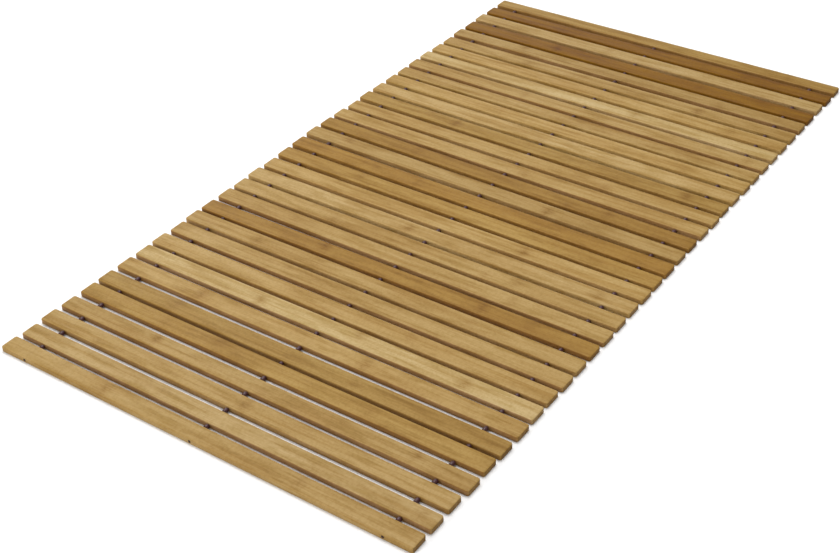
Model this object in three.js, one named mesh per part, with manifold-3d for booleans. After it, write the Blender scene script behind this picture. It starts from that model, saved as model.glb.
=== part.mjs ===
import * as THREE from 'three';
import { mergeVertices } from 'three/addons/utils/BufferGeometryUtils.js';
import Module from 'manifold-3d';

// A roll-up bamboo mat lying flat. Its slats run along X and are threaded one behind the other,
// front at -Y to back at +Y, on three cords. A spacer bead on each cord keeps every gap open.
// Sizes in millimetres, Z up, undersides at Z = 0.

// Slats
const slatLength = 500;
const slatThickness = 6;
const cornerRadius = 2.5;
const edgeEase = 0.8;
const cornerSteps = 1;

// Cords and their bores, half way up the slats
const cords = [
  { name: 'cord_left', x: -218 },
  { name: 'cord_middle', x: 0 },
  { name: 'cord_right', x: 218 },
];
const cordRadius = 1;
const cordSides = 8;
const cordHeight = slatThickness / 2;
const boreClearance = 0.35;
const boreRadius = (cordRadius + boreClearance) / Math.cos(Math.PI / cordSides);
const boreOvershoot = 1;

// Spacer beads, threaded on the cords between the slats
const beadRadius = 2.5;
const beadEndRadius = 1.8;
const beadClearance = 0.3;

// The melted ends of the cords, just inside the outer bores
const cordEndInset = 0.4;
const cordEndDome = 0.5;
const cordEndFlat = 0.6;

// Bamboo tones
const tones = {
  palest: '#cdb484',
  pale: '#c6a873',
  straw: '#bd9a60',
  golden: '#b38d50',
  honey: '#a67d42',
  brown: '#8a6338',
};

// One row for each slat, front to back. gap: open space in front of it. width: its own width.
// left, right: how far that end stands out past the nominal length. skew: how far its right
// end lies behind its left end.
const slats = [
  { gap: 0.0, width: 20.5, left: 1.5, right: -1.0, skew: 1.5, tone: 'straw' },
  { gap: 5.5, width: 20.5, left: 0.0, right: -0.5, skew: 2.0, tone: 'pale' },
  { gap: 7.0, width: 21.0, left: 2.0, right: -1.0, skew: 2.0, tone: 'straw' },
  { gap: 6.5, width: 20.5, left: 1.5, right: 1.0, skew: 2.0, tone: 'straw' },
  { gap: 7.0, width: 21.5, left: 1.5, right: -0.5, skew: 2.0, tone: 'golden' },
  { gap: 4.5, width: 21.5, left: 2.0, right: 0.5, skew: 2.0, tone: 'golden' },
  { gap: 7.0, width: 22.0, left: 2.0, right: 0.5, skew: 2.0, tone: 'straw' },
  { gap: 5.5, width: 22.5, left: 1.5, right: -0.5, skew: 2.0, tone: 'palest' },
  { gap: 4.5, width: 22.0, left: 2.5, right: -1.0, skew: 2.5, tone: 'straw' },
  { gap: 5.5, width: 22.0, left: 1.0, right: 0.0, skew: 1.5, tone: 'straw' },
  { gap: 5.0, width: 21.5, left: 3.0, right: -0.5, skew: 1.0, tone: 'straw' },
  { gap: 5.0, width: 21.5, left: 2.5, right: -1.0, skew: 3.0, tone: 'honey' },
  { gap: 6.0, width: 22.0, left: 2.5, right: -0.5, skew: 1.0, tone: 'straw' },
  { gap: 5.0, width: 21.5, left: 2.0, right: -1.0, skew: 1.5, tone: 'straw' },
  { gap: 6.0, width: 21.5, left: 3.5, right: -1.5, skew: 2.0, tone: 'pale' },
  { gap: 5.5, width: 21.5, left: 2.0, right: -1.0, skew: 2.0, tone: 'straw' },
  { gap: 5.5, width: 22.0, left: 3.5, right: -1.5, skew: -0.5, tone: 'golden' },
  { gap: 5.5, width: 22.5, left: 4.5, right: -1.5, skew: -2.0, tone: 'honey' },
  { gap: 6.5, width: 21.5, left: 6.0, right: -2.0, skew: -3.0, tone: 'straw' },
  { gap: 5.5, width: 21.0, left: 5.0, right: -2.0, skew: -3.0, tone: 'honey' },
  { gap: 6.0, width: 21.5, left: 4.5, right: -1.5, skew: -1.5, tone: 'straw' },
  { gap: 5.5, width: 20.5, left: 2.5, right: -1.0, skew: -1.0, tone: 'straw' },
  { gap: 6.0, width: 21.0, left: 4.0, right: -2.0, skew: -2.0, tone: 'golden' },
  { gap: 5.5, width: 22.0, left: 3.0, right: -1.5, skew: -1.5, tone: 'pale' },
  { gap: 6.0, width: 21.0, left: 2.5, right: -1.0, skew: -1.5, tone: 'straw' },
  { gap: 5.0, width: 20.0, left: 2.0, right: -1.0, skew: -1.5, tone: 'straw' },
  { gap: 6.0, width: 20.5, left: 2.5, right: -1.0, skew: -1.5, tone: 'straw' },
  { gap: 6.0, width: 20.0, left: 2.5, right: -1.0, skew: -1.5, tone: 'palest' },
  { gap: 6.0, width: 21.0, left: 1.0, right: -1.0, skew: -1.0, tone: 'straw' },
  { gap: 5.5, width: 20.0, left: 0.0, right: -1.0, skew: 0.5, tone: 'straw' },
  { gap: 7.5, width: 20.5, left: 1.5, right: -1.0, skew: 0.0, tone: 'straw' },
  { gap: 5.5, width: 22.0, left: 0.0, right: -1.0, skew: 0.0, tone: 'brown' },
  { gap: 6.5, width: 21.5, left: 1.0, right: -1.5, skew: 1.0, tone: 'pale' },
  { gap: 5.5, width: 20.0, left: -0.5, right: -0.5, skew: 1.5, tone: 'brown' },
  { gap: 7.0, width: 20.0, left: -1.0, right: -1.0, skew: 1.0, tone: 'golden' },
];

const wasm = await Module();
wasm.setup();

// A closed geometry as a solid, and back
function toSolid(geometry) {
  geometry.deleteAttribute('normal');
  geometry.deleteAttribute('uv');
  const merged = mergeVertices(geometry);
  return new wasm.Manifold(new wasm.Mesh({
    numProp: 3,
    vertProperties: new Float32Array(merged.attributes.position.array),
    triVerts: new Uint32Array(merged.index.array),
  }));
}

function toGeometry(solid) {
  const { vertProperties, triVerts } = solid.getMesh();
  const geometry = new THREE.BufferGeometry();
  geometry.setAttribute('position', new THREE.BufferAttribute(vertProperties, 3));
  geometry.setIndex(new THREE.BufferAttribute(triVerts, 1));
  geometry.computeVertexNormals();
  return geometry;
}

function roundedRectangle(length, width, radius) {
  const x = length / 2 - radius;
  const y = width / 2 - radius;
  const quarter = Math.PI / 2;
  const outline = new THREE.Shape();
  outline.absarc(x, -y, radius, -quarter, 0);
  outline.absarc(x, y, radius, 0, quarter);
  outline.absarc(-x, y, radius, quarter, 2 * quarter);
  outline.absarc(-x, -y, radius, 2 * quarter, 3 * quarter);
  return outline;
}

// A flat strip with rounded corners and all its long edges eased
function slatBlank(length, width) {
  const faceOutline = roundedRectangle(
    length - 2 * edgeEase,
    width - 2 * edgeEase,
    cornerRadius - edgeEase,
  );
  const blank = new THREE.ExtrudeGeometry(faceOutline, {
    depth: slatThickness - 2 * edgeEase,
    bevelThickness: edgeEase,
    bevelSize: edgeEase,
    bevelSegments: 1,
    curveSegments: cornerSteps,
  });
  return blank.translate(0, 0, edgeEase);
}

function boreTool(x, width) {
  const tool = new THREE.CylinderGeometry(boreRadius, boreRadius, width + 2 * boreOvershoot, cordSides);
  return tool.translate(x, 0, cordHeight);
}

// Where each slat lies: its centre, its length and its small turn
function laySlats() {
  let front = 0;
  return slats.map((row) => {
    front += row.gap;
    const place = {
      ...row,
      length: slatLength + row.left + row.right,
      x: (row.right - row.left) / 2,
      y: front + row.width / 2,
      turn: Math.atan2(row.skew, slatLength),
    };
    front += row.width;
    return place;
  });
}

// The Y of a slat's front face (side -1) or back face (side 1) where a cord at x meets it
function faceY(place, x, side) {
  const halfWidth = place.width / 2 / Math.cos(place.turn);
  return place.y + (x - place.x) * Math.tan(place.turn) + side * halfWidth;
}

function makeSlat(place, index) {
  let solid = toSolid(slatBlank(place.length, place.width));
  for (const cord of cords) {
    const along = (cord.x - place.x) / Math.cos(place.turn);
    solid = solid.subtract(toSolid(boreTool(along, place.width)));
  }
  const material = new THREE.MeshStandardMaterial({
    color: tones[place.tone],
    roughness: 0.5,
    metalness: 0,
  });
  const slat = new THREE.Mesh(toGeometry(solid), material);
  slat.name = `slat_${String(index + 1).padStart(2, '0')}`;
  slat.position.set(place.x, place.y, 0);
  slat.rotation.z = place.turn;
  return slat;
}

// Half the section of a cord with its beads: radius out from the cord's axis, height along it
function cordProfile(places, x) {
  const start = faceY(places[0], x, -1) + cordEndInset;
  const end = faceY(places[places.length - 1], x, 1) - cordEndInset;
  const profile = [
    [0, start],
    [cordEndFlat, start],
    [cordRadius, start + cordEndDome],
  ];
  for (let i = 0; i < places.length - 1; i += 1) {
    const beadStart = faceY(places[i], x, 1) + beadClearance;
    const beadEnd = faceY(places[i + 1], x, -1) - beadClearance;
    profile.push(
      [cordRadius, beadStart],
      [beadEndRadius, beadStart],
      [beadRadius, (beadStart + beadEnd) / 2],
      [beadEndRadius, beadEnd],
      [cordRadius, beadEnd],
    );
  }
  profile.push([cordRadius, end - cordEndDome], [cordEndFlat, end], [0, end]);
  return profile.map(([radius, y]) => new THREE.Vector2(radius, y));
}

function makeCord(places, cord) {
  const geometry = new THREE.LatheGeometry(cordProfile(places, cord.x), cordSides);
  const material = new THREE.MeshStandardMaterial({
    color: '#2b1b1d',
    roughness: 0.35,
    metalness: 0,
  });
  const mesh = new THREE.Mesh(geometry, material);
  mesh.name = cord.name;
  mesh.position.set(cord.x, 0, cordHeight);
  return mesh;
}

const mat = new THREE.Group();
const places = laySlats();
places.forEach((place, index) => mat.add(makeSlat(place, index)));
cords.forEach((cord) => mat.add(makeCord(places, cord)));

// The origin is under the middle of the whole mat
const middle = new THREE.Box3().setFromObject(mat, true).getCenter(new THREE.Vector3());
mat.position.set(-middle.x, -middle.y, 0);

export default mat;
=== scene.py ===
import math
import random

import bmesh
import bpy
from mathutils import Matrix, Vector


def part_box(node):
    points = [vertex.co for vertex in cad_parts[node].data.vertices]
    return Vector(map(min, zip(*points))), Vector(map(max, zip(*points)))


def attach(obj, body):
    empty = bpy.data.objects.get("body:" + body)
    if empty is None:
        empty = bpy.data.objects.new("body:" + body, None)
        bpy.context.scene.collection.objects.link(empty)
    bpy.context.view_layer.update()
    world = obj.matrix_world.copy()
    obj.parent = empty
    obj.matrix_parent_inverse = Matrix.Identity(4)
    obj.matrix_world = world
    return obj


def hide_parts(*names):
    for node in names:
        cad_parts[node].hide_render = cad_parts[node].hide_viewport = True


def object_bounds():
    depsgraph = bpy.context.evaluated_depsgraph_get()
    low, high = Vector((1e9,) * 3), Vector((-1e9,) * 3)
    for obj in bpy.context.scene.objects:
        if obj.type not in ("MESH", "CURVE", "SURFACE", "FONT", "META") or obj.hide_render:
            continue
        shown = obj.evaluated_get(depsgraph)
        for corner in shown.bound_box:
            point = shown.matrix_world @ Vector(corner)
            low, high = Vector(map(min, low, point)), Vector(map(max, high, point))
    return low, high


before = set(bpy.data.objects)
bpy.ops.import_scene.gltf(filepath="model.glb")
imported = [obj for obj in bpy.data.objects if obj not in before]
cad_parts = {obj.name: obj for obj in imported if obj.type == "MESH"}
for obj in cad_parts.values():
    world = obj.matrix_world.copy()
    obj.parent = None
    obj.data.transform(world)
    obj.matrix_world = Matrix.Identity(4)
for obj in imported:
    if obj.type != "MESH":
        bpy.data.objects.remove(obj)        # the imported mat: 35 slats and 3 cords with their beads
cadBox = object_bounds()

mm = 0.001
hair = 0.01 * mm         # two places that are nearer than this are the same
weld = 0.002 * mm        # two vertices that are nearer than this become one
scene = bpy.context.scene


# Small helpers

def deselectAll():
    if bpy.context.object and bpy.context.object.mode != "OBJECT":
        bpy.ops.object.mode_set(mode="OBJECT")
    bpy.ops.object.select_all(action="DESELECT")


def makeActive(piece):
    deselectAll()
    piece.select_set(True)
    bpy.context.view_layer.objects.active = piece


def startEditing(piece, kind="EDGE"):
    makeActive(piece)
    bpy.ops.object.mode_set(mode="EDIT")
    bpy.ops.mesh.select_mode(type=kind)
    bpy.ops.mesh.select_all(action="DESELECT")


def selectWhere(piece, kind, test):
    # kind is verts, edges or faces; the test sees each element's middle, in metres
    mesh = bmesh.from_edit_mesh(piece.data)
    for element in getattr(mesh, kind):
        if kind == "verts":
            middle = element.co.copy()
        elif kind == "edges":
            middle = (element.verts[0].co + element.verts[1].co) / 2
        else:
            middle = element.calc_center_median()
        element.select_set(test(element, middle))
    mesh.select_flush_mode()
    bmesh.update_edit_mesh(piece.data)


def finishPiece(piece, smoothAngle):
    # welds doubled vertices, turns the faces outward and smooths where they meet below the angle
    makeActive(piece)
    bpy.ops.object.mode_set(mode="EDIT")
    bpy.ops.mesh.select_all(action="SELECT")
    bpy.ops.mesh.remove_doubles(threshold=weld)
    bpy.ops.mesh.normals_make_consistent(inside=False)
    bpy.ops.object.mode_set(mode="OBJECT")
    bpy.ops.object.shade_smooth_by_angle(angle=math.radians(smoothAngle))


def applyModifiers(piece):
    makeActive(piece)
    for modifier in list(piece.modifiers):
        bpy.ops.object.modifier_apply(modifier=modifier.name)


def copyPiece(piece, name):
    made = piece.copy()
    made.data = piece.data.copy()
    made.name = name
    made.data.name = name
    scene.collection.objects.link(made)
    return made


def joinPieces(pieces, name):
    deselectAll()
    for piece in pieces:
        piece.select_set(True)
    bpy.context.view_layer.objects.active = pieces[0]
    bpy.ops.object.join()
    pieces[0].name = name
    pieces[0].data.name = name
    return pieces[0]


def paint(piece, material):
    piece.data.materials.clear()
    piece.data.materials.append(material)


def hexToLinear(code):
    # sRGB hex to the linear values that a shader takes
    values = [int(code[i:i + 2], 16) / 255 for i in (1, 3, 5)]
    return [v / 12.92 if v <= 0.04045 else ((v + 0.055) / 1.055) ** 2.4 for v in values] + [1.0]


def addNode(tree, kind, settings=None, inputs=None):
    # adds a node, sets it, and links each input that is given as a socket
    node = tree.nodes.new(kind)
    for name, value in (settings or {}).items():
        setattr(node, name, value)
    for name, value in (inputs or {}).items():
        if isinstance(value, bpy.types.NodeSocket):
            tree.links.new(value, node.inputs[name])
        else:
            node.inputs[name].default_value = value
    return node


def newMaterial(name):
    material = bpy.data.materials.new(name)
    material.use_nodes = True
    tree = material.node_tree
    tree.nodes.clear()
    shader = addNode(tree, "ShaderNodeBsdfPrincipled")
    addNode(tree, "ShaderNodeOutputMaterial", inputs={"Surface": shader.outputs[0]})
    return material, tree, shader


# Camera, at the photograph's place: above the front right corner, looking along the mat

view = {
    "place": (0.7481, -1.1289, 0.8821),   # m
    "target": (0.0363, -0.1486, 0.0060),  # m, on the slats' tops
    "roll": -2.047,                       # degrees
    "lens": 61.06,                        # mm
    "sensor": 36,                         # mm across
    "clip": (0.01, 50),                   # m, the nearest and furthest that it sees
}


def setCamera():
    data = bpy.data.cameras.new("camera")
    data.sensor_fit = "HORIZONTAL"
    data.sensor_width = view["sensor"]
    data.lens = view["lens"]
    data.clip_start, data.clip_end = view["clip"]
    camera = bpy.data.objects.new("camera", data)
    scene.collection.objects.link(camera)
    place = Vector(view["place"])
    look = Vector(view["target"]) - place
    turn = look.to_track_quat("-Z", "Y").to_matrix().to_4x4()
    roll = Matrix.Rotation(math.radians(view["roll"]), 4, "Z")
    camera.matrix_world = Matrix.Translation(place) @ turn @ roll
    scene.camera = camera


setCamera()
print("camera set")


# Floor and light

studio = {
    "floorSize": 30,             # m
    "floorDrop": 0.05 * mm,
    "floorColour": "#f8f8f8",
    "floorRoughness": 0.9,
    "worldColour": "#ffffff",
    "worldStrength": 0.5,
    "softboxes": [
        # name, place in m, size in m, watts
        ("softboxAbove", (-0.55, 0.65, 3.00), 2.0, 74),
        ("softboxFront", (-2.40, -5.20, 2.00), 2.0, 120),
        ("softboxLeft", (-2.10, 1.35, 1.55), 0.7, 9),
        ("softboxBack", (-1.50, 2.60, 1.25), 0.9, 3.6),
    ],
    "aim": (0, 0, 0),            # where they all point
}


def setStudio():
    deselectAll()
    bpy.ops.mesh.primitive_plane_add(size=studio["floorSize"], location=(0, 0, -studio["floorDrop"]))
    floor = bpy.context.object
    floor.name = "floor"
    # matt background paper: an even white with no shine
    material, tree, shader = newMaterial("paperSweep")
    shader.inputs["Base Color"].default_value = hexToLinear(studio["floorColour"])
    shader.inputs["Roughness"].default_value = studio["floorRoughness"]
    paint(floor, material)
    world = bpy.data.worlds.new("studio")
    scene.world = world
    world.use_nodes = True
    background = world.node_tree.nodes["Background"]
    background.inputs["Color"].default_value = hexToLinear(studio["worldColour"])
    background.inputs["Strength"].default_value = studio["worldStrength"]
    for name, place, size, watts in studio["softboxes"]:
        data = bpy.data.lights.new(name, "AREA")
        data.size = size
        data.energy = watts
        lamp = bpy.data.objects.new(name, data)
        scene.collection.objects.link(lamp)
        lamp.location = place
        look = Vector(studio["aim"]) - Vector(place)
        lamp.rotation_euler = look.to_track_quat("-Z", "Y").to_euler()
    scene.view_settings.view_transform = "Standard"
    scene.view_settings.look = "None"


setStudio()
print("floor and light set")


# Bamboo, planed strips with a clear satin lacquer

bamboo = {
    "tones": {
        "palest": "#b9a172",
        "pale": "#b19665",
        "straw": "#ad905b",
        "golden": "#a38448",
        "honey": "#9a7737",
        "brown": "#7f5806",
    },
    # darker layers over the tone: length along the slat and width across it in mm, detail, where
    # the noise begins to show and where it is full, and the colour that it multiplies by
    "layers": {
        "fibres": (45, 2.2, 2, 0.35, 0.75, "#faf8f1"),
        "streaks": (180, 5, 2, 0.40, 0.72, "#ebe2c8"),
        "blotches": (45, 8, 2, 0.42, 0.72, "#e8e1c5"),
        "drift": (110, 35, 1, 0.35, 0.70, "#f3edde"),
        "mottle": (2.8, 3.2, 2, 0.38, 0.70, "#f3f0e5"),
        "bundles": (26, 0.4, 2, 0.50, 0.72, "#ebe1ca"),
    },
    "noiseRoughness": 0.55,
    "grainShift": (1.31, 0.47, 0.83),    # m from one slat's grain to the next one's
    # the smudges at the cane's nodes; lengths in mm, ramps as start, end, value there and there
    "markCount": 3,                      # most that a slat has
    "markLength": 9,                     # along the slat
    "markReach": 10,                     # across it
    "markWander": 8,                     # how far single fibres draw it out
    "markFibres": (16, 1.6, 2),          # length, width and detail of those fibres
    "markHalo": (0.0, 1.4, 0.75, 0),     # its strength away from its middle
    "markLine": (0.0, 0.3, 1.4, 1),      # the darker line through its middle
    "markGrain": (0.2, 0.75, 0.7, 1.25),
    "markColour": "#d4c295",
    "rimWearAndHighlight": (1.08, 1.07, 1.05),       # rims this much lighter: wear plus a painted highlight
    "gapShadeTurn": (0.35, 0.95),            # how far a face turns to the front before it gets painted gap shade
    "gapShadeColour": "#e5d6db",             # painted shade on the faces in the gaps, browner than the top
    "endTurn": (0.75, 0.95),
    "endColour": "#cec5bf",
    "poreSize": 0.9,                     # mm, the pores of the end grain
    "poreEdge": (0.15, 0.4, 1, 0),
    "poreColour": "#c4b5a6",
    "roughness": (0.3, 0.7, 0.40, 0.50),  # along the fibres
    "endRoughness": 0.25,                # what the end grain adds
    "ior": 1.5,
    "specular": 0.14,
    "bumpStrength": 0.35,
    "bumpDepth": 0.06,                   # mm
    "bundleDepth": 0.5,                  # of the bump
}


def bambooMaterial():
    # pressed and planed bamboo: even straw colour, fine long fibres, brown smudges at the cane's nodes
    material, tree, shader = newMaterial("planedBamboo")
    place = addNode(tree, "ShaderNodeAttribute", {"attribute_name": "place"}).outputs["Vector"]
    grain = addNode(tree, "ShaderNodeAttribute", {"attribute_name": "grain"}).outputs["Vector"]
    tone = addNode(tree, "ShaderNodeAttribute", {"attribute_name": "tone"}).outputs["Color"]
    edge = addNode(tree, "ShaderNodeAttribute", {"attribute_name": "edge"}).outputs["Fac"]

    def drawnNoise(length, width, detail):
        # noise drawn out along the slat
        stretch = (1 / (length * mm), 1 / (width * mm), 1 / (width * mm))
        coords = addNode(tree, "ShaderNodeVectorMath", {"operation": "MULTIPLY"}, {0: grain, 1: stretch})
        noise = addNode(tree, "ShaderNodeTexNoise",
                        inputs={"Vector": coords.outputs[0], "Scale": 1, "Detail": detail,
                                "Roughness": bamboo["noiseRoughness"]})
        return noise.outputs["Fac"]

    def calc(operation, a, b, clamp=False):
        return addNode(tree, "ShaderNodeMath", {"operation": operation, "use_clamp": clamp},
                       {0: a, 1: b}).outputs[0]

    def ramp(value, low, high, toLow=0, toHigh=1):
        return addNode(tree, "ShaderNodeMapRange", {"interpolation_type": "SMOOTHSTEP"},
                       {"Value": value, "From Min": low, "From Max": high,
                        "To Min": toLow, "To Max": toHigh}).outputs["Result"]

    def shade(colour, factor, tint):
        # multiplies a colour by the tint where factor is 1
        return addNode(tree, "ShaderNodeMix", {"data_type": "RGBA", "blend_type": "MULTIPLY"},
                       {"Factor": factor, "A": colour, "B": tint}).outputs["Result"]

    colour = tone
    noises = {}
    for name, (length, width, detail, low, high, tint) in bamboo["layers"].items():
        noises[name] = drawnNoise(length, width, detail)
        colour = shade(colour, ramp(noises[name], low, high), hexToLinear(tint))
    fine = noises["fibres"]
    wander = drawnNoise(*bamboo["markFibres"])

    # The marks at the cane's nodes, each at its own place and strength
    axes = addNode(tree, "ShaderNodeSeparateXYZ", inputs={0: place})
    wanderX = calc("MULTIPLY", calc("SUBTRACT", wander, 0.5), 2 * bamboo["markWander"] * mm)
    along = calc("ADD", axes.outputs["X"], wanderX)
    marks = None
    for number in range(1, bamboo["markCount"] + 1):
        mark = addNode(tree, "ShaderNodeAttribute", {"attribute_name": f"mark{number}"}).outputs["Vector"]
        at = addNode(tree, "ShaderNodeSeparateXYZ", inputs={0: mark})
        farX = calc("DIVIDE", calc("SUBTRACT", along, at.outputs["X"]), bamboo["markLength"] * mm)
        farY = calc("DIVIDE", calc("SUBTRACT", axes.outputs["Y"], at.outputs["Y"]),
                    bamboo["markReach"] * mm)
        far = addNode(tree, "ShaderNodeCombineXYZ", inputs={"X": farX, "Y": farY})
        distance = addNode(tree, "ShaderNodeVectorMath", {"operation": "LENGTH"}, {0: far.outputs[0]})
        halo = ramp(distance.outputs["Value"], *bamboo["markHalo"])
        line = ramp(calc("ABSOLUTE", farX, 0), *bamboo["markLine"])
        band = calc("MULTIPLY", calc("MULTIPLY", halo, line), at.outputs["Z"])
        marks = band if marks is None else calc("ADD", marks, band)
    marks = calc("MULTIPLY", marks, ramp(fine, *bamboo["markGrain"]), clamp=True)
    colour = shade(colour, marks, hexToLinear(bamboo["markColour"]))
    # eased rims lighter: real wear plus a painted highlight where they catch the light
    colour = shade(colour, edge, (*bamboo["rimWearAndHighlight"], 1))

    # Painted shade on the faces in the gaps between slats, and end grain with its open pores
    normal = addNode(tree, "ShaderNodeTexCoord").outputs["Normal"]
    facing = addNode(tree, "ShaderNodeSeparateXYZ", inputs={0: normal})
    # painted shade on the front and back faces, where the gaps shade them, as much as the slat's side
    # value
    side = addNode(tree, "ShaderNodeAttribute", {"attribute_name": "side"}).outputs["Fac"]
    gapShadeMask = ramp(calc("ABSOLUTE", facing.outputs["Y"], 0), *bamboo["gapShadeTurn"])
    colour = shade(colour, calc("MULTIPLY", gapShadeMask, side), hexToLinear(bamboo["gapShadeColour"]))
    endGrain = ramp(calc("ABSOLUTE", facing.outputs["X"], 0), *bamboo["endTurn"])
    pores = addNode(tree, "ShaderNodeTexVoronoi",
                    inputs={"Vector": place, "Scale": 1 / (bamboo["poreSize"] * mm)})
    poreDark = ramp(pores.outputs["Distance"], *bamboo["poreEdge"])
    poreShaded = shade(colour, poreDark, hexToLinear(bamboo["poreColour"]))
    endColour = shade(poreShaded, 1.0, hexToLinear(bamboo["endColour"]))
    colour = addNode(tree, "ShaderNodeMix", {"data_type": "RGBA"},
                     {"Factor": endGrain, "A": colour, "B": endColour}).outputs["Result"]
    tree.links.new(colour, shader.inputs["Base Color"])

    roughness = calc("ADD", ramp(fine, *bamboo["roughness"]),
                     calc("MULTIPLY", endGrain, bamboo["endRoughness"]))
    tree.links.new(roughness, shader.inputs["Roughness"])
    shader.inputs["IOR"].default_value = bamboo["ior"]
    shader.inputs["Specular IOR Level"].default_value = bamboo["specular"]
    low, high = bamboo["layers"]["bundles"][3:5]
    ridges = ramp(noises["bundles"], low, high)
    height = calc("SUBTRACT", fine, calc("MULTIPLY", ridges, bamboo["bundleDepth"]))
    bump = addNode(tree, "ShaderNodeBump",
                   inputs={"Strength": bamboo["bumpStrength"], "Distance": bamboo["bumpDepth"] * mm,
                           "Height": height})
    tree.links.new(bump.outputs["Normal"], shader.inputs["Normal"])
    return material


# Slats

slat = {
    "length": 500 * mm,
    "width": 21 * mm,
    "thickness": 6 * mm,
    "cornerRadius": 2.5 * mm,
    "cornerSteps": 5,
    "topEase": 1.2 * mm,
    "bottomEase": 0.4 * mm,
    "edgeSteps": 4,
    "stations": 50,          # cuts across, so that a slat can bow a little
    "lengthCuts": (-0.25, 0.0, 0.25),    # cuts along, as shares of the width
    "endZone": 1 * mm,       # a CAD point this near the end belongs to it
    "boreRadius": 1.4 * mm,
    "boreSides": 20,
    "boreOvershoot": 1.1,    # the bore tool's length beside the mat's
    "bow": 0.22 * mm,        # most that a slat bows sideways
    "lift": 0.10 * mm,       # most that its middle stands up
    "rimLightShare": 0.5,        # of the rim, where the wear and the painted highlight are full
    "smoothAngle": 40,       # degrees
    "seed": 7,
}

# One row a slat from the front: its tone, and its node marks as (mm from the mat's left edge,
# place across from -1 at its front edge to 1 at its back edge, strength). light is how light it
# is beside its tone, and side how much painted shade darkens its front and back faces where the
# gaps shade them, both 1 unless given.
slatLooks = [
    {"tone": "straw", "marks": [(133, -0.2, 0.6), (370, 0.0, 0.45), (75, 0.8, 0.3)], "side": 0.1},
    {"tone": "pale", "marks": [(183, 0.2, 0.35), (483, 0.2, 0.5)]},
    {"tone": "straw", "marks": [(262, 0.1, 0.6), (75, -0.8, 0.35)], "side": 0.5},
    {"tone": "straw", "marks": [(122, 0.3, 0.8), (438, 0.5, 0.8), (262, -0.7, 0.4)], "light": 0.98},
    {"tone": "golden", "marks": [(110, 0.0, 0.3), (365, 0.1, 0.35), (180, 0.6, 0.3)], "light": 1.03},
    {"tone": "golden", "marks": [(100, 0.1, 0.4), (330, 0.2, 0.3)], "light": 0.97, "side": 0.6},
    {"tone": "straw", "marks": [(110, 0.0, 0.8), (322, -0.1, 0.6), (440, 0.3, 0.25)], "light": 1.04},
    {"tone": "palest", "marks": [(168, -0.3, 0.8), (290, 0.7, 0.6), (418, -0.1, 0.7)], "light": 1.03},
    {"tone": "straw", "marks": [(335, 0.4, 0.35), (235, -0.9, 0.2)], "light": 1.03, "side": 0.5},
    {"tone": "straw", "marks": [(155, 0.3, 0.25)]},
    {"tone": "straw", "marks": [(95, 0.0, 0.4), (372, 0.2, 0.3)], "side": 0.5},
    {"tone": "honey", "marks": [(165, 0.3, 1.0), (368, 0.2, 0.8), (425, 0.4, 0.4)]},
    {"tone": "straw", "marks": [(388, 0.1, 0.5), (125, 0.2, 0.2)]},
    {"tone": "straw", "marks": [(375, 0.3, 0.5), (140, -0.3, 0.4), (340, -0.3, 0.35)], "side": 0.5},
    {"tone": "pale", "marks": [(222, -0.2, 0.7), (457, -0.1, 0.5)], "light": 1.03, "side": 0.0},
    {"tone": "straw", "marks": [(352, -0.1, 0.8)], "light": 1.04, "side": 0.5},
    {"tone": "golden", "marks": [(112, 0.3, 0.4), (350, 0.0, 0.2)], "light": 1.05, "side": 0.5},
    {"tone": "honey", "marks": [(115, 0.0, 0.3), (175, 0.1, 0.3)], "light": 1.03, "side": 0.5},
    {"tone": "straw", "marks": [(333, -0.3, 0.9), (52, 0.5, 0.6)], "light": 0.94, "side": 0.5},
    {"tone": "honey", "marks": [(393, 0.3, 0.6), (135, 0.0, 0.4), (345, -0.9, 0.4)],
     "light": 0.94, "side": 0.5},
    {"tone": "straw", "marks": [(270, -0.2, 0.5)]},
    {"tone": "straw", "marks": [(363, -0.6, 0.5), (120, 0.0, 0.2)], "side": 0.5},
    {"tone": "golden", "marks": [(138, 0.0, 0.9), (450, 0.1, 1.0), (97, 0.8, 0.5)],
     "light": 0.95, "side": 0.5},
    {"tone": "pale", "marks": [(245, -0.7, 0.35)], "light": 1.03, "side": 0.0},
    {"tone": "straw", "marks": [(168, 0.8, 0.4), (420, -0.3, 0.3)], "light": 1.03, "side": 0.0},
    {"tone": "straw", "marks": [], "light": 0.95, "side": 0.0},
    {"tone": "straw", "marks": [(172, 0.1, 0.5), (425, 0.9, 0.5), (475, 0.0, 0.5)], "light": 0.96},
    {"tone": "palest", "marks": [(313, 0.3, 0.7), (98, 0.6, 0.6)], "light": 0.98, "side": 0.5},
    {"tone": "straw", "marks": [(430, 0.0, 0.4), (160, -0.2, 0.2)], "light": 1.01, "side": 0.0},
    {"tone": "straw", "marks": [(375, -0.2, 0.9), (130, -0.2, 0.5), (213, 0.3, 0.3)],
     "light": 0.93, "side": 0.0},
    {"tone": "straw", "marks": [(105, 0.8, 0.9), (390, -0.3, 0.4)], "light": 0.88},
    {"tone": "brown", "marks": [(142, 0.0, 1.0), (350, 0.0, 0.4)], "side": 0.0},
    {"tone": "pale", "marks": [(203, 0.2, 0.4), (490, 0.3, 0.3)], "light": 0.94, "side": 0.5},
    {"tone": "brown", "marks": [(330, 0.0, 0.15)], "side": 0.0},
    {"tone": "golden", "marks": [(435, 0.1, 0.4)], "light": 0.93},
]


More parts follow.
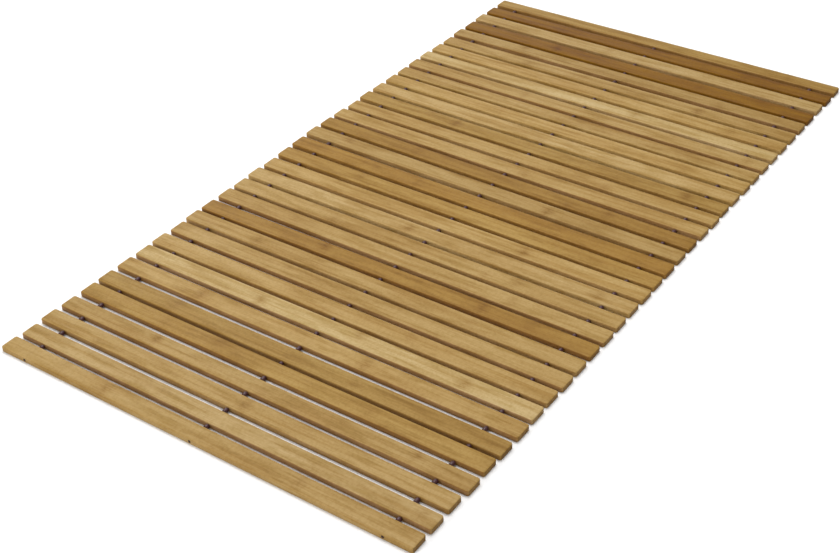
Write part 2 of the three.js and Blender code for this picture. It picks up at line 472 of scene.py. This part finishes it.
def modelSlat():
    # a strip with round corners in plan, all its rims eased, cut across at each station
    deselectAll()
    bpy.ops.mesh.primitive_cube_add(size=1, location=(0, 0, slat["thickness"] / 2))
    master = bpy.context.object
    master.name = "slatMaster"
    master.scale = (slat["length"], slat["width"], slat["thickness"])
    bpy.ops.object.transform_apply(location=True, rotation=True, scale=True)
    startEditing(master)
    selectWhere(master, "edges",
                lambda edge, middle: abs(edge.verts[0].co.z - edge.verts[1].co.z) > slat["thickness"] / 2)
    bpy.ops.mesh.bevel(offset=slat["cornerRadius"], segments=slat["cornerSteps"], affect="EDGES")
    for height, ease in ((slat["thickness"], "topEase"), (0, "bottomEase")):
        bpy.ops.mesh.select_all(action="DESELECT")
        selectWhere(master, "edges",
                    lambda edge, middle: all(abs(v.co.z - height) < hair for v in edge.verts))
        bpy.ops.mesh.bevel(offset=slat[ease], segments=slat["edgeSteps"], affect="EDGES")
    for station in range(1, slat["stations"]):
        x = slat["length"] * (station / slat["stations"] - 0.5)
        bpy.ops.mesh.select_all(action="SELECT")
        bpy.ops.mesh.bisect(plane_co=(x, 0, 0), plane_no=(1, 0, 0))
    for across in slat["lengthCuts"]:
        bpy.ops.mesh.select_all(action="SELECT")
        bpy.ops.mesh.bisect(plane_co=(0, across * slat["width"], 0), plane_no=(0, 1, 0))
    bpy.ops.object.mode_set(mode="OBJECT")
    return master


def layOf(name):
    # where a slat of the frame lies: its middle, length, width and small turn
    points = [vertex.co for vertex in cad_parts[name].data.vertices]
    low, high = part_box(name)

    def endMiddle(x):
        near = [point for point in points if abs(point.x - x) < slat["endZone"]]
        y = [point.y for point in near]
        return Vector((x, (min(y) + max(y)) / 2, 0))

    left, right = endMiddle(low.x), endMiddle(high.x)
    line = (right - left).normalized()
    across = Vector((-line.y, line.x, 0))
    middle = (left + right) / 2
    return {
        "middle": middle,
        "length": (right - left).length,
        "width": 2 * max(abs((point - middle).dot(across)) for point in points),
        "turn": math.atan2(line.y, line.x),
    }


def faceY(lay, x, side):
    # the Y of a slat's front face (side -1) or back face (side 1) at a cord's x
    halfWidth = lay["width"] / 2 / math.cos(lay["turn"])
    return lay["middle"].y + (x - lay["middle"].x) * math.tan(lay["turn"]) + side * halfWidth


def modelBoreTool(cordPlaces):
    # three long rods on the cords' lines, to cut the bores with
    rods = []
    low, high = cadBox
    for place in cordPlaces:
        deselectAll()
        bpy.ops.mesh.primitive_cylinder_add(
            vertices=slat["boreSides"], radius=slat["boreRadius"],
            depth=(high.y - low.y) * slat["boreOvershoot"],
            location=(place.x, 0, place.z), rotation=(math.pi / 2, 0, 0))
        rods.append(bpy.context.object)
    tool = joinPieces(rods, "boreTool")
    bpy.ops.object.transform_apply(location=True, rotation=True, scale=True)
    return tool


def placeSlat(master, tool, index, lay, looks, chance):
    # a copy of the master at its own size, a little bowed, laid in its place and bored
    piece = copyPiece(master, f"bambooSlat{index + 1:02d}")
    fit = Matrix.Diagonal((lay["length"] / slat["length"], lay["width"] / slat["width"], 1, 1))
    lie = Matrix.Translation(lay["middle"]) @ Matrix.Rotation(lay["turn"], 4, "Z")
    piece.data.transform(fit)
    bow = chance.uniform(-1, 1) * slat["bow"]
    lift = chance.uniform(0, 1) * slat["lift"]
    halfLength = lay["length"] / 2
    for vertex in piece.data.vertices:
        arch = 1 - (vertex.co.x / halfLength) ** 2
        vertex.co.y += bow * arch
        vertex.co.z += lift * arch * vertex.co.z / slat["thickness"]
    piece.data.transform(lie)
    cut = piece.modifiers.new("bores", "BOOLEAN")
    cut.operation = "DIFFERENCE"
    cut.solver = "EXACT"
    cut.object = tool
    applyModifiers(piece)
    finishPiece(piece, slat["smoothAngle"])
    writeGrain(piece, index, lay, lie, looks)
    return piece


def writeGrain(piece, index, lay, lie, looks):
    # the slat's own coordinates, tone, node marks, worn rims with their painted highlight, and how
    # much painted gap shade its front and back faces take, for the bamboo to read
    mesh = piece.data
    back = lie.inverted()
    local = [back @ vertex.co for vertex in mesh.vertices]
    shift = Vector(bamboo["grainShift"]) * (index + 1)
    flatX = lay["length"] / 2 - slat["topEase"]
    flatY = lay["width"] / 2 - slat["topEase"]
    flatTop = slat["thickness"] - slat["topEase"]
    leftEdge = cordPlaces["middle"].x - slat["length"] / 2 - lay["middle"].x

    def write(name, kind, key, values):
        attribute = mesh.attributes.new(name, kind, "POINT")
        attribute.data.foreach_set(key, [number for value in values for number in value])

    def wornAndLitRim(point):
        # 1 on the eased rim of the top, 0 elsewhere: where wear and a painted highlight lighten it
        if point.z < flatTop - hair:
            return (0.0,)
        beyond = max(abs(point.x) - flatX, abs(point.y) - flatY, 0) / slat["topEase"]
        return (min(beyond / slat["rimLightShare"], 1.0),)

    write("place", "FLOAT_VECTOR", "vector", local)
    write("grain", "FLOAT_VECTOR", "vector", [point + shift for point in local])
    write("edge", "FLOAT", "value", [wornAndLitRim(point) for point in local])
    # how much painted gap shade this slat's front and back faces take
    write("side", "FLOAT", "value", [(looks.get("side", 1.0),)] * len(local))
    tone = [value * looks.get("light", 1.0) for value in hexToLinear(bamboo["tones"][looks["tone"]])]
    write("tone", "FLOAT_COLOR", "color", [tone] * len(local))
    marks = looks["marks"] + [(0, 0, 0)] * (bamboo["markCount"] - len(looks["marks"]))
    for number, (along, across, strength) in enumerate(marks, start=1):
        mark = (leftEdge + along * mm, across * lay["width"] / 2, strength)
        write(f"mark{number}", "FLOAT_VECTOR", "vector", [mark] * len(local))


cordNames = ["left", "middle", "right"]
cordBoxes = {name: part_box(f"cord_{name}") for name in cordNames}
cordPlaces = {name: (low + high) / 2 for name, (low, high) in cordBoxes.items()}

bambooLook = bambooMaterial()
slatMaster = modelSlat()
boreTool = modelBoreTool(cordPlaces.values())
chance = random.Random(slat["seed"])
lays = [layOf(f"slat_{index + 1:02d}") for index in range(len(slatLooks))]
for index, (lay, looks) in enumerate(zip(lays, slatLooks)):
    piece = placeSlat(slatMaster, boreTool, index, lay, looks, chance)
    paint(piece, bambooLook)
    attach(piece, "root")
    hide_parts(f"slat_{index + 1:02d}")
bpy.data.objects.remove(slatMaster)
bpy.data.objects.remove(boreTool)
print("slats made:", len(lays))


# Spacer beads

bead = {
    "radius": 2.5 * mm,
    "endRadius": 1.8 * mm,
    "holeRadius": 1.05 * mm,
    "length": 5 * mm,
    "clearance": 0.3 * mm,
    "sides": 24,
    "rings": 6,
    "rimEase": 0.25 * mm,
    "rimSteps": 2,
    "rollStep": 0.9,             # radians from one bead to the next
    "smoothAngle": 50,           # degrees
    "colour": "#3a1c20",
    "cloudGain": 1.5,            # how much lighter the moulding's clouds are
    "cloudSize": 7 * mm,
    "cloudDetail": 2,
    "roughness": (0.30, 0.48),
    "hazeSize": 1.2 * mm,
    "hazeDetail": 3,
    "ior": 1.55,
    "specular": 0.35,
}


def beadMaterial():
    # dark brown moulded polystyrene: a clean, bright highlight on an almost black bead
    material, tree, shader = newMaterial("mouldedBead")
    coords = addNode(tree, "ShaderNodeTexCoord").outputs["Object"]
    cloud = addNode(tree, "ShaderNodeTexNoise",
                    inputs={"Vector": coords, "Scale": 1 / bead["cloudSize"],
                            "Detail": bead["cloudDetail"]})
    dark = hexToLinear(bead["colour"])
    warm = [value * bead["cloudGain"] for value in dark[:3]] + [1.0]
    mixed = addNode(tree, "ShaderNodeMix", {"data_type": "RGBA"},
                    {"Factor": cloud.outputs["Fac"], "A": dark, "B": warm})
    tree.links.new(mixed.outputs["Result"], shader.inputs["Base Color"])
    haze = addNode(tree, "ShaderNodeTexNoise",
                   inputs={"Vector": coords, "Scale": 1 / bead["hazeSize"],
                           "Detail": bead["hazeDetail"]})
    rough = addNode(tree, "ShaderNodeMapRange",
                    inputs={"Value": haze.outputs["Fac"], "To Min": bead["roughness"][0],
                            "To Max": bead["roughness"][1]})
    tree.links.new(rough.outputs["Result"], shader.inputs["Roughness"])
    shader.inputs["IOR"].default_value = bead["ior"]
    shader.inputs["Specular IOR Level"].default_value = bead["specular"]
    return material


def modelBead():
    # a short barrel along Y with a hole through it
    deselectAll()
    bpy.ops.mesh.primitive_cylinder_add(
        vertices=bead["sides"], radius=bead["radius"], depth=bead["length"],
        rotation=(math.pi / 2, 0, 0), end_fill_type="NGON")
    master = bpy.context.object
    master.name = "beadMaster"
    bpy.ops.object.transform_apply(location=True, rotation=True, scale=True)
    startEditing(master, "FACE")
    half = bead["length"] / 2
    for ring in range(1, bead["rings"]):
        bpy.ops.mesh.select_all(action="SELECT")
        bpy.ops.mesh.bisect(plane_co=(0, half * (2 * ring / bead["rings"] - 1), 0), plane_no=(0, 1, 0))
    bpy.ops.mesh.select_mode(type="VERT")
    for ring in range(bead["rings"] + 1):
        y = half * (2 * ring / bead["rings"] - 1)
        bulge = 1 - (y / half) ** 2
        radius = bead["endRadius"] + (bead["radius"] - bead["endRadius"]) * math.sqrt(bulge)
        size = radius / bead["radius"]
        selectWhere(master, "verts", lambda vertex, middle: abs(middle.y - y) < hair)
        bpy.ops.transform.resize(value=(size, 1, size), center_override=(0, y, 0))
    bpy.ops.mesh.select_mode(type="FACE")
    selectWhere(master, "faces", lambda face, middle: abs(abs(middle.y) - half) < hair)
    bpy.ops.mesh.inset(thickness=bead["endRadius"] - bead["holeRadius"], use_individual=True)
    bpy.ops.mesh.delete(type="ONLY_FACE")
    bpy.ops.mesh.select_mode(type="EDGE")
    selectWhere(master, "edges", lambda edge, middle: edge.is_boundary)
    bpy.ops.mesh.bridge_edge_loops()
    selectWhere(master, "edges", lambda edge, middle: all(
        abs(abs(vertex.co.y) - half) < hair
        and abs(math.hypot(vertex.co.x, vertex.co.z) - bead["endRadius"]) < hair
        for vertex in edge.verts))
    bpy.ops.mesh.bevel(offset=bead["rimEase"], segments=bead["rimSteps"], affect="EDGES")
    bpy.ops.object.mode_set(mode="OBJECT")
    finishPiece(master, bead["smoothAngle"])
    return master


def threadBeads(master, name, place):
    # one bead in each gap, a little clear of both slats
    beads = []
    for nearer, further in zip(lays, lays[1:]):
        start = faceY(nearer, place.x, 1) + bead["clearance"]
        end = faceY(further, place.x, -1) - bead["clearance"]
        made = copyPiece(master, f"{name}{len(beads)}")
        fit = Matrix.Diagonal((1, (end - start) / bead["length"], 1, 1))
        roll = Matrix.Rotation(len(beads) * bead["rollStep"], 4, "Y")
        made.data.transform(Matrix.Translation((place.x, (start + end) / 2, place.z)) @ roll @ fit)
        beads.append(made)
    return joinPieces(beads, name)


beadLook = beadMaterial()
beadMaster = modelBead()
for name in cordNames:
    piece = threadBeads(beadMaster, f"beads{name.capitalize()}", cordPlaces[name])
    paint(piece, beadLook)
    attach(piece, "root")
    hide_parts(f"cord_{name}")
bpy.data.objects.remove(beadMaster)
print("beads threaded")


# Cords, three twisted strands each, their melted ends spread over the outer bores' rims

cord = {
    "strands": 3,
    "strandRadius": 0.53 * mm,
    "strandOffset": 0.47 * mm,   # from the cord's axis, so that the cord is 2 mm thick
    "strandSides": 8,
    "turnLength": 8 * mm,
    "stepsPerTurn": 8,
    "endRadius": 1.6 * mm,       # a melted end, wider than the bore
    "endLength": 1.2 * mm,
    "endSides": 16,
    "endRings": 10,
    "smoothAngle": 60,           # degrees
    "colour": "#2c1a14",
    "filamentGain": 1.8,         # how much lighter the single filaments are
    "filamentSize": 0.4 * mm,
    "filamentDetail": 2,
    "roughness": 0.5,
    "ior": 1.53,
    "specular": 0.15,
    "bumpStrength": 0.4,
    "bumpDepth": 0.05 * mm,
}


def cordMaterial():
    # twisted nylon twine, dyed dark brown: soft sheen along the filaments
    material, tree, shader = newMaterial("twistedNylon")
    coords = addNode(tree, "ShaderNodeTexCoord").outputs["Object"]
    fuzz = addNode(tree, "ShaderNodeTexNoise",
                   inputs={"Vector": coords, "Scale": 1 / cord["filamentSize"],
                           "Detail": cord["filamentDetail"]})
    dark = hexToLinear(cord["colour"])
    light = [value * cord["filamentGain"] for value in dark[:3]] + [1.0]
    mixed = addNode(tree, "ShaderNodeMix", {"data_type": "RGBA"},
                    {"Factor": fuzz.outputs["Fac"], "A": dark, "B": light})
    tree.links.new(mixed.outputs["Result"], shader.inputs["Base Color"])
    shader.inputs["Roughness"].default_value = cord["roughness"]
    shader.inputs["IOR"].default_value = cord["ior"]
    shader.inputs["Specular IOR Level"].default_value = cord["specular"]
    bump = addNode(tree, "ShaderNodeBump",
                   inputs={"Strength": cord["bumpStrength"], "Distance": cord["bumpDepth"],
                           "Height": fuzz.outputs["Fac"]})
    tree.links.new(bump.outputs["Normal"], shader.inputs["Normal"])
    return material


def modelCord(name, place, length):
    # each strand is a small ring swept along the cord by a screw, and each end a flattened ball
    strands = []
    turns = length / cord["turnLength"]
    for strand in range(cord["strands"]):
        angle = 2 * math.pi * strand / cord["strands"]
        deselectAll()
        bpy.ops.mesh.primitive_circle_add(
            vertices=cord["strandSides"], radius=cord["strandRadius"],
            location=(cord["strandOffset"], 0, 0))
        ring = bpy.context.object
        bpy.ops.object.transform_apply(location=True, rotation=True, scale=True)
        sweep = ring.modifiers.new("twist", "SCREW")
        sweep.axis = "Z"
        sweep.angle = 2 * math.pi * turns
        sweep.screw_offset = length
        sweep.steps = sweep.render_steps = round(turns * cord["stepsPerTurn"])
        sweep.use_merge_vertices = False
        applyModifiers(ring)
        startEditing(ring)
        selectWhere(ring, "edges", lambda edge, middle: edge.is_boundary)
        bpy.ops.mesh.edge_face_add()
        bpy.ops.object.mode_set(mode="OBJECT")
        start = place.y - length / 2
        lie = Matrix.Translation((place.x, start, place.z)) @ Matrix.Rotation(-math.pi / 2, 4, "X")
        ring.data.transform(lie @ Matrix.Rotation(angle, 4, "Z"))
        strands.append(ring)
    for y in (faceY(lays[0], place.x, -1), faceY(lays[-1], place.x, 1)):
        deselectAll()
        bpy.ops.mesh.primitive_uv_sphere_add(
            segments=cord["endSides"], ring_count=cord["endRings"], radius=cord["endRadius"])
        blob = bpy.context.object
        blob.data.transform(Matrix.Translation((place.x, y, place.z))
                            @ Matrix.Diagonal((1, cord["endLength"] / 2 / cord["endRadius"], 1, 1)))
        strands.append(blob)
    piece = joinPieces(strands, name)
    finishPiece(piece, cord["smoothAngle"])
    return piece


cordLook = cordMaterial()
for name in cordNames:
    low, high = cordBoxes[name]
    piece = modelCord(f"twistedCord{name.capitalize()}", cordPlaces[name], high.y - low.y)
    paint(piece, cordLook)
    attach(piece, "root")
    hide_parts(f"cord_{name}")
print("cords twisted")
